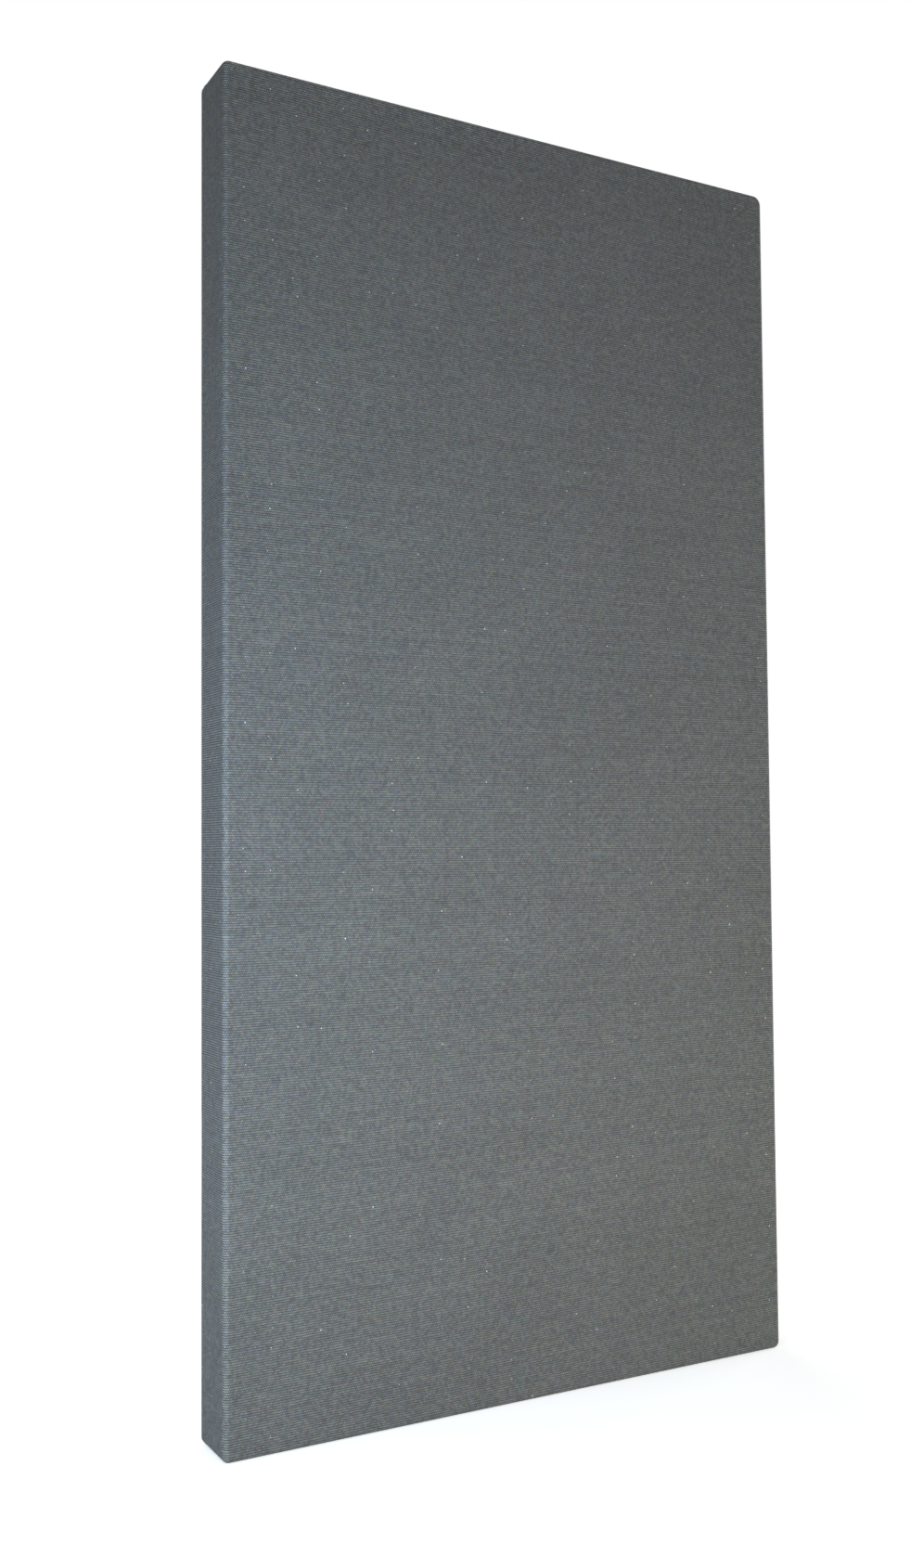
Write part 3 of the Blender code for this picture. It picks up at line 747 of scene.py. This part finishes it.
def unroll_cloth(mesh):
    """A UV map in metres on the flat cloth, so that ribs run on over the edges as one piece."""
    points = points_of(mesh)
    normals, middles = [values_of(mesh.polygons, name, 3) for name in ("normal", "center")]
    on_front, on_back = normals[:, 1] < -0.7, normals[:, 1] > 0.7
    inset_x, inset_z = insets(middles)
    faces_side = np.abs(normals[:, 0]) > np.abs(normals[:, 2])
    to_side = np.where(on_back, inset_x < inset_z, faces_side)
    face = np.repeat(np.arange(len(normals)), values_of(mesh.polygons, "loop_total", kind=np.int32))
    vertex = values_of(mesh.loops, "vertex_index", kind=np.int32)
    x, y, z = points[vertex, 0], points[vertex, 1], points[vertex, 2] - MIDDLE_Z
    round_x = np.sign(x) * along_cloth(np.abs(x), y, HALF_WIDTH)
    round_z = np.sign(z) * along_cloth(np.abs(z), y, MIDDLE_Z)
    across = np.where(on_front[face] | to_side[face], round_x, x)
    height = np.where(on_front[face] | ~to_side[face], round_z, z)
    layer = mesh.uv_layers.new(name="cloth")
    layer.data.foreach_set("uv", np.stack([across, height], 1).astype(np.float32).ravel())


def folded_edge(distance):
    """The height across a folded edge, from 0 outside it to 1 on the layer, a little proud between."""
    millimetres = distance / MM
    proud = 1 + 0.3 * np.exp(-(((millimetres - 0.7) / 0.9) ** 2))
    return smoothstep(-0.15, 0.35, millimetres) * proud


def corner_fold_height(points, normals):
    """How far each point of the wrap is raised by the layer tucked under its corner's fold."""
    inset_x, inset_z = insets(points)
    depth = points[:, 1] - FRONT_Y
    on_top = points[:, 2] > MIDDLE_Z
    radius = np.zeros(len(points))
    for (side, end), value in CORNER_RADII.items():
        radius[(side * points[:, 0] > 0) & (on_top == (end > 0))] = value
    along_x, along_z = radius - inset_x, radius - inset_z
    angle = np.arctan2(np.maximum(along_z, 0), np.maximum(along_x, 1e-9))
    quarter = radius * math.pi / 4
    around = np.where(along_x > 0, radius * angle - quarter, quarter - along_x)
    share = np.clip((depth - FRONT_RADIUS) / (DEPTH - FRONT_RADIUS), 0, 1)
    start = quarter + FOLD_START
    past_edge = around - (start + (FOLD_END - start) * share)
    reach = TUCK_SLOPE * np.maximum(depth - TUCK_DEPTH, 0)
    tucked = smoothstep(0, 7 * MM, reach - past_edge) * smoothstep(TUCK_DEPTH, 3 * TUCK_DEPTH, depth)
    on_end = folded_edge(past_edge) * tucked * np.where(on_top, TOP_RISE, BOTTOM_RISE)
    on_back = folded_edge((inset_x - inset_z) / math.sqrt(2)) * BACK_RISE
    on_back *= smoothstep(*BACK_FADE, inset_x)
    back_share = np.clip(normals[:, 1], 0, 1) ** 2
    near = (np.minimum(along_x, along_z) > -FOLD_AREA) & (normals[:, 1] > -0.5)
    return np.where(near, on_end * (1 - back_share) + on_back * back_share, 0)


class BASSTRAP_OT_cloth_wrap(bpy.types.Operator):
    """Makes the ribbed cloth wrap with its folded corners"""

    bl_idname = "bass_trap.cloth_wrap"
    bl_label = "Cloth wrap"

    def execute(self, context):
        settings = context.scene.bass_trap.cloth
        wrap = model_wrap_tray()
        unroll_cloth(wrap.data)
        points, normals = points_of(wrap.data), normals_of(wrap.data)
        inset_x, inset_z = insets(points)
        flat = smoothstep(0, 30 * MM, inset_x) * smoothstep(0, 30 * MM, inset_z)
        on_front = np.clip(-normals[:, 1], 0, 1) * flat
        height = wander(points, 150 * MM, 3.0) * settings.unevenness * on_front
        height += corner_fold_height(points, normals)
        move_points(wrap.data, points + normals * height[:, None])
        apply_modifier(wrap, "SOLIDIFY", thickness=settings.thickness, offset=-1)
        smooth_shade(wrap)
        finish_piece(wrap, make_ribbed_cloth(settings), "ribbed_cloth", "fabric_wrap")
        return {"FINISHED"}


# Wadding and board


class BASSTRAP_OT_wadding(bpy.types.Operator):
    """Makes the layer of wadding under the cloth's front"""

    bl_idname = "bass_trap.wadding"
    bl_label = "Wadding"

    def execute(self, context):
        low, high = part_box("front_wadding")
        layer = add_box("wadding_layer", low, high)
        with editing(layer):
            for (side, end), radius in CORNER_RADII.items():
                x, z = (high.x if side > 0 else low.x), (high.z if end > 0 else low.z)
                round_edges(layer, radius - SKIN, 5, x=x, z=z)
            round_edges(layer, high.y - low.y - 0.3 * MM, 4, y=low.y)
            step = 16 * MM
            inner_x, inner_z = high.x - 8 * MM, MIDDLE_Z - 10 * MM
            cut_all(np.arange(-inner_x, inner_x, step), (1, 0, 0))
            cut_all(np.arange(MIDDLE_Z - inner_z, MIDDLE_Z + inner_z, step), (0, 0, 1))
        points = points_of(layer.data)
        lofty = 0.35 * MM * (wander(points, 45 * MM, 8.0) - 1)
        on_front = points[:, 1] < low.y + MM
        points[:, 1] -= np.where(on_front, lofty, 0)
        move_points(layer.data, points)
        smooth_shade(layer)
        dark, light = (0.62, 0.62, 0.60), (0.90, 0.90, 0.88)
        material = make_soft_fibre("polyester wadding", dark, light, 0.9 * MM, 0.5 * MM)
        finish_piece(layer, material, "polyester_wadding", "front_wadding")
        return {"FINISHED"}


class BASSTRAP_OT_board(bpy.types.Operator):
    """Makes the mineral wool board, with its fibrous faces and the cuts for the brace and blocks"""

    bl_idname = "bass_trap.board"
    bl_label = "Mineral wool board"

    def execute(self, context):
        board = add_copy("mineral_wool_board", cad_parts["core_slab"])
        with editing(board):
            bpy.ops.mesh.select_all(action="SELECT")
            bpy.ops.mesh.remove_doubles(threshold=0.01 * MM)
            bpy.ops.mesh.customdata_custom_splitnormals_clear()
            bpy.ops.mesh.tris_convert_to_quads()
        apply_modifier(board, "REMESH", mode="VOXEL", voxel_size=8 * MM)
        points, normals = points_of(board.data), normals_of(board.data)
        worn = 0.5 * MM * (1.2 + wander(points, 14 * MM, 2.0))
        move_points(board.data, points - normals * worn[:, None])
        smooth_shade(board, 60)
        dark, light = (0.30, 0.25, 0.10), (0.62, 0.55, 0.28)
        material = make_soft_fibre("mineral wool", dark, light, 1.1 * MM, 0.6 * MM)
        finish_piece(board, material, "mineral_wool", "core_slab")
        return {"FINISHED"}


# Dust cover and staples


# Zones round a hanger, by how far they reach past its strap inwards, down and up: where no staple goes,
# and where the cover lies flat so that the ring swings clear
STAPLE_FREE = (12 * MM, 9 * MM, 20 * MM)
HELD_FLAT = (13 * MM, 4 * MM, 21 * MM)
# From the cover's corners to its first staples, and from a staple's middle to the cloth it holds
STAPLE_START = 14 * MM
STAPLE_HOLD = 5.5 * MM
# The staples' wire, and the middle of their crown above the cover
CROWN_WIDTH = 1.1 * MM
CROWN_THICKNESS = 0.6 * MM
CROWN_SEAT = 0.32 * MM
# The wrap's folded corners under the cover: their height, and where it fades in from nothing, measured
# from the sides and from the top and bottom
FOLD_STACK = 0.95 * MM
SIDE_FADE = (36 * MM, 27 * MM)
END_FADE = (30 * MM, 20 * MM)
CLOTH_FRAMES = 24


def past_hanger(x, z, zone):
    """How far a place lies outside a zone round the hanger on its side, less than 0 inside it."""
    inwards, down, up = zone
    past_end = np.maximum(STRAP_LOW.z - down - z, z - STRAP_HIGH.z - up)
    return np.maximum(past_end, STRAP_LOW.x - inwards - np.abs(x))


def staple_places(settings):
    """Where the staples go on the back, as (x, z, crown upright or not), clear of the hangers."""
    half_x = COVER_HIGH.x - settings.staple_inset
    half_z = (COVER_HIGH.z - COVER_LOW.z) / 2 - settings.staple_inset
    places = []
    for run, other, upright in ((half_x, half_z, False), (half_z, half_x, True)):
        run -= STAPLE_START
        for along in np.linspace(-run, run, round(2 * run / settings.staple_pitch) + 1):
            for side in (-1, 1):
                x, up = (side * other, along) if upright else (along, side * other)
                if past_hanger(x, MIDDLE_Z + up, STAPLE_FREE) >= 0:
                    places.append((x, MIDDLE_Z + up, upright))
    return places


def corner_lift(points):
    """How far the dust cover is raised where it lies over the wrap's folded corners."""
    inset_x, inset_z = insets(points)
    return FOLD_STACK * smoothstep(*SIDE_FADE, inset_x) * smoothstep(*END_FADE, inset_z)


def relax_cover(cover, flat, settings):
    """Lets the slack cover settle between its staples by cloth simulation."""
    start = flat.copy()
    ripple = 0.15 * MM * wander(flat, 40 * MM, 5.0)
    start[:, 1] += corner_lift(flat) + ripple
    move_points(cover.data, start)
    spots = np.array([(x, z) for x, z, _ in staple_places(settings)])
    gap = np.linalg.norm(flat[:, None, (0, 2)] - spots[None], axis=2).min(1)
    pins = cover.vertex_groups.new(name="staples")
    pins.add(np.flatnonzero(gap < STAPLE_HOLD).tolist(), 1.0, "REPLACE")
    make_active(cover)
    modifier = cover.modifiers.new("Cloth", "CLOTH")
    cloth = modifier.settings
    cloth.quality = 6
    cloth.mass = 0.08
    cloth.tension_stiffness = cloth.compression_stiffness = 12
    cloth.shear_stiffness = 6
    cloth.bending_stiffness = 0.08
    cloth.shrink_min = -settings.slack
    cloth.vertex_group_mass = "staples"
    cloth.effector_weights.gravity = 0
    modifier.collision_settings.use_collision = False
    modifier.point_cache.frame_start, modifier.point_cache.frame_end = 1, CLOTH_FRAMES
    scene = bpy.context.scene
    for number in range(1, CLOTH_FRAMES + 1):
        scene.frame_set(number)
    bpy.ops.object.modifier_apply(modifier=modifier.name)
    scene.frame_set(1)


def keep_cover_clear(cover, flat):
    """Keeps the settled cover behind the cloth's border and off the frame."""
    moved = points_of(cover.data) - flat
    over_border = np.minimum(*insets(flat)) < BORDER + 8 * MM
    inwards = np.where(over_border, 0.2 * MM, 1.0 * MM)
    furthest = np.where(moved[:, 1] < 0, inwards, 2.4 * MM)
    pressed = 0.1 * MM
    raised = np.maximum(furthest * np.tanh(moved[:, 1] / furthest), corner_lift(flat) - pressed)
    # The hangers hold the cover flat under the straps and as far as their rings swing
    held = np.clip(raised, -pressed, 0)
    free = smoothstep(0, 24 * MM, past_hanger(flat[:, 0], flat[:, 2], HELD_FLAT))
    points = flat + np.clip(moved, -MM, MM)
    points[:, 1] = flat[:, 1] + held + (raised - held) * free
    move_points(cover.data, points)


class BASSTRAP_OT_dust_cover(bpy.types.Operator):
    """Makes the black dust cover, slack between its staples"""

    bl_idname = "bass_trap.dust_cover"
    bl_label = "Dust cover"

    def execute(self, context):
        settings = context.scene.bass_trap.back
        width, height = COVER_HIGH.x - COVER_LOW.x, COVER_HIGH.z - COVER_LOW.z
        deselect_all()
        bpy.ops.mesh.primitive_grid_add(
            x_subdivisions=76, y_subdivisions=152, size=1, rotation=(-math.pi / 2, 0, 0),
            location=(0, COVER_LOW.y, MIDDLE_Z),
        )
        context.object.scale = (width, height, 1)
        cover = settle("black_dust_cover")
        flat = points_of(cover.data)
        relax_cover(cover, flat, settings)
        keep_cover_clear(cover, flat)

        def is_corner(vertex):
            x, _, z = vertex.co
            gap_x, gap_z = COVER_HIGH.x - abs(x), min(COVER_HIGH.z - z, z - COVER_LOW.z)
            return max(gap_x, gap_z) < 2 * MM

        with editing(cover):
            pick(cover, "VERT", is_corner)
            bpy.ops.mesh.bevel(offset=6.5 * MM, segments=5, affect="VERTICES")
        apply_modifier(cover, "SOLIDIFY", thickness=settings.cover_thickness, offset=1)
        smooth_shade(cover)
        finish_piece(cover, make_dust_cloth(settings), "dust_cloth", "dust_cover")
        return {"FINISHED"}


def model_staple():
    """One staple seen from behind, its crown along X and its legs towards the front."""
    crown = Vector((4.6 * MM, CROWN_THICKNESS / 2, CROWN_WIDTH / 2))
    # Steps outwards and forwards in millimetres, round a shoulder and down the leg, which is hidden in
    # the wood and comes out without thickness
    steps = ((0.45, 0.12), (0.32, 0.42), (0.12, 0.55), (0, 5))
    staple = add_box("staple", -crown, crown)
    with editing(staple):
        for side in (-1, 1):
            for out, forwards in steps:
                pick_end(staple, side)
                move = {"value": (side * out * MM, -forwards * MM, 0)}
                bpy.ops.mesh.extrude_region_move(TRANSFORM_OT_translate=move)
    apply_modifier(staple, "BEVEL", width=0.12 * MM, segments=1, limit_method="ANGLE")
    smooth_shade(staple, 50)
    return staple


def pick_end(obj, side):
    """Selects the face that lies furthest out on one side."""

    def reach(face):
        middle = face.calc_center_median()
        return side * middle.x * 10 - middle.y

    far = max(bmesh.from_edit_mesh(obj.data).faces, key=reach)
    place = far.calc_center_median().copy()
    pick(obj, "FACE", lambda face: (face.calc_center_median() - place).length < 0.001 * MM)


class BASSTRAP_OT_staples(bpy.types.Operator):
    """Shoots the staples that hold the dust cover"""

    bl_idname = "bass_trap.staples"
    bl_label = "Staples"

    def execute(self, context):
        settings = context.scene.bass_trap.back
        wire = make_plated("staple wire", context.scene.bass_trap.metal.steel, 0.28, 0.42, 0.5)
        pattern = model_staple()
        rng = np.random.default_rng(settings.seed)
        for number, (x, z, upright) in enumerate(staple_places(settings), 1):
            jitter = rng.normal(0, 1, 3)
            turn = math.radians(jitter[0] * 4 + (90 if upright else 0))
            shift_x, shift_z = jitter[1:] * 0.4 * MM
            lift = corner_lift(np.array((x, 0, z)))
            back = COVER_LOW.y + settings.cover_thickness + lift + CROWN_SEAT
            staple = add_copy(f"staple_{number:02d}", pattern)
            place = Matrix.Translation((x + shift_x, back, z + shift_z))
            staple.data.transform(place @ Matrix.Rotation(turn, 4, "Y"))
            finish_piece(staple, wire, "zinc_steel")
        bpy.data.objects.remove(pattern)
        return {"FINISHED"}


# Hardware and timber


class BASSTRAP_OT_hangers(bpy.types.Operator):
    """Plates the straps, rings and screws"""

    bl_idname = "bass_trap.hangers"
    bl_label = "Hangers and screws"

    def execute(self, context):
        settings = context.scene.bass_trap.metal
        zinc = make_plated("zinc plating", settings.zinc, 0.30, 0.48, 0.8)
        nickel = make_plated("nickel plating", settings.nickel, 0.14, 0.26, 0.5)
        dress_nodes({"screw": zinc, "strap": zinc, "ring": nickel})
        return {"FINISHED"}


class BASSTRAP_OT_timber(bpy.types.Operator):
    """Gives the frame, brace and corner blocks their pine"""

    bl_idname = "bass_trap.timber"
    bl_label = "Timber"

    def execute(self, context):
        settings = context.scene.bass_trap.timber
        turns = {"upright": 0, "level": math.pi / 2, "slanting": math.pi / 4}
        upright, level, slanting = [
            make_pine(f"pine, {way}", settings, (0, turn, 0)) for way, turn in turns.items()
        ]
        dress_nodes({"stile": upright, "rail": level, "cross_brace": level, "corner_block": slanting})
        return {"FINISHED"}


# Studio


# Each lamp's name, place, aim, size, power in watts and colour
LAMPS = (
    ("front key", (-0.42, -0.95, 0.60), (-0.25, 0, 0.58), (0.20, 0.45), 1.9, (0.70, 0.84, 1.0)),
    ("cool sheen", (-0.62, -0.62, 0.50), (-0.28, 0, 0.50), (0.15, 0.40), 3.6, (0.66, 0.83, 1.0)),
    ("low front strip", (0.12, -1.1, 0.10), (0.05, 0, 0.35), (1.2, 0.15), 7.1, (1.0, 0.88, 0.66)),
    ("low left side", (-1.05, -0.15, 0.12), (-0.3, 0, 0.35), (0.5, 0.15), 2.1, (0.97, 0.96, 0.86)),
    ("left side", (-1.05, -0.30, 0.45), (-0.3, 0, 0.50), (0.3, 0.4), 1.6, (0.42, 0.72, 1.0)),
    ("front fill", (0.6, -1.7, 1.3), (0.05, 0, 0.75), (0.8, 0.8), 7.6, (1.0, 0.97, 0.93)),
    ("back fill", (0, 1.5, 0.95), (0, 0, 0.6), (1.8, 1.7), 12, (1.0, 0.99, 0.97)),
    ("right fill", (1.3, 0.1, 0.65), (0.3, 0, 0.6), (0.5, 0.9), 3.5, (1.0, 0.99, 0.97)),
    ("top fill", (0, 0.15, 1.9), (0, 0.05, 1.2), (0.6, 0.2), 3.0, (1.0, 0.99, 0.97)),
)
# The camera's place, and its yaw, pitch and roll in degrees, fitted to the photo's outline
CAMERA_PLACE = (-0.761, -1.275, 0.518)
CAMERA_TURNS = (29.01, 2.54, -0.43)
# The distances from the middle between which the floor's own white rises, and its strength at each
GLOW_RISE = (0.45, 1.5, 0.58, 1.0)


def add_lamp(name, place, aim, size, power, colour):
    deselect_all()
    place, aim = Vector(place), Vector(aim)
    turn = (place - aim).to_track_quat("Z", "Y").to_euler()
    bpy.ops.object.light_add(type="AREA", location=place, rotation=turn)
    lamp = bpy.context.object
    lamp.name = name
    lamp.data.shape = "RECTANGLE"
    lamp.data.size, lamp.data.size_y = size
    lamp.data.energy = power
    lamp.data.color = colour


def seen_directly(nodes):
    """1 for the rays that show a surface as background: the camera's, and those in gloss and glass."""
    rays = nodes.new("LightPath", {}).outputs
    kinds = [rays[f"Is {kind} Ray"] for kind in ("Camera", "Glossy", "Transmission")]
    return nodes.chain("MAXIMUM", *kinds)


class BASSTRAP_OT_stage(bpy.types.Operator):
    """Sets up the floor, the lamps and the camera"""

    bl_idname = "bass_trap.stage"
    bl_label = "Studio"

    def execute(self, context):
        scene = context.scene
        settings = scene.bass_trap.stage
        scene.view_settings.view_transform = "Standard"
        self.add_floor(settings)
        self.light_world(scene, settings)
        for lamp in LAMPS:
            add_lamp(*lamp)
        self.place_camera(scene, settings)
        return {"FINISHED"}

    def add_floor(self, settings):
        deselect_all()
        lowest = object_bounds()[0].z
        bpy.ops.mesh.primitive_plane_add(size=24, location=(0, 0, lowest))
        floor = settle("floor")

        def build(nodes):
            place = nodes.place()
            darker = [0.97 * value for value in settings.floor]
            distance = nodes.new("VectorMath", {0: place}, operation="LENGTH").outputs["Value"]
            glow = nodes.product(seen_directly(nodes), nodes.span(distance, *GLOW_RISE))
            colour = nodes.mix(nodes.noise(place, 0.6 * MM), settings.floor, darker)
            return {"Base Color": colour, "Emission Strength": glow}

        matt = {"Roughness": 0.9, "Specular_IOR_Level": 0.1}
        dress(floor, make_material("pale floor", build, Emission_Color=(1, 1, 1, 1), **matt))
        floor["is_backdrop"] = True

    def light_world(self, scene, settings):
        world = bpy.data.worlds.new("white studio")
        world.use_nodes = True
        scene.world = world
        nodes = Nodes(world.node_tree)
        background = world.node_tree.nodes["Background"]
        background.inputs["Color"].default_value = (1, 1, 1, 1)
        strength = nodes.between(seen_directly(nodes), settings.ambient, 1.0)
        nodes.feed(background.inputs["Strength"], strength)

    def place_camera(self, scene, settings):
        deselect_all()
        yaw, pitch, roll = (math.radians(turn) for turn in CAMERA_TURNS)
        flat = math.cos(pitch)
        ahead = Vector((math.sin(yaw) * flat, math.cos(yaw) * flat, math.sin(pitch)))
        right = Vector((math.cos(yaw), -math.sin(yaw), 0))
        tilted = math.cos(roll) * right + math.sin(roll) * right.cross(ahead)
        axes = Matrix((tilted, tilted.cross(ahead), -ahead)).transposed()
        bpy.ops.object.camera_add(location=CAMERA_PLACE, rotation=axes.to_euler())
        camera = bpy.context.object
        camera.data.sensor_width = 36
        camera.data.lens = settings.focal_length
        camera.data.clip_start, camera.data.clip_end = 0.05, 60
        scene.camera = camera


class BASSTRAP_PT_panel(bpy.types.Panel):
    """Lists the steps that build the panel's looks"""

    bl_label = "Bass trap panel"
    bl_idname = "BASSTRAP_PT_panel"
    bl_space_type = "VIEW_3D"
    bl_region_type = "UI"
    bl_category = "Bass trap"

    def draw(self, context):
        settings = context.scene.bass_trap
        for step in STEPS:
            self.layout.operator(step.bl_idname)
        for name in ("cloth", "back", "timber", "metal", "stage"):
            box = self.layout.box()
            box.label(text=name.capitalize())
            group = getattr(settings, name)
            for label in group.bl_rna.properties.keys():
                if label not in ("rna_type", "name"):
                    box.prop(group, label)


STEPS = (
    BASSTRAP_OT_cloth_wrap,
    BASSTRAP_OT_wadding,
    BASSTRAP_OT_board,
    BASSTRAP_OT_dust_cover,
    BASSTRAP_OT_staples,
    BASSTRAP_OT_hangers,
    BASSTRAP_OT_timber,
    BASSTRAP_OT_stage,
)
SETTINGS = (ClothSettings, BackSettings, TimberSettings, MetalSettings, StageSettings, BassTrapSettings)
CLASSES = (*SETTINGS, *STEPS, BASSTRAP_PT_panel)


def register():
    for item in CLASSES:
        bpy.utils.register_class(item)
    bpy.types.Scene.bass_trap = PointerProperty(type=BassTrapSettings)


def unregister():
    del bpy.types.Scene.bass_trap
    for item in reversed(CLASSES):
        bpy.utils.unregister_class(item)


def main():
    register()
    for step in STEPS:
        operator = getattr(bpy.ops.bass_trap, step.bl_idname.split(".")[1])
        operator()


if __name__ == "__main__":
    main()
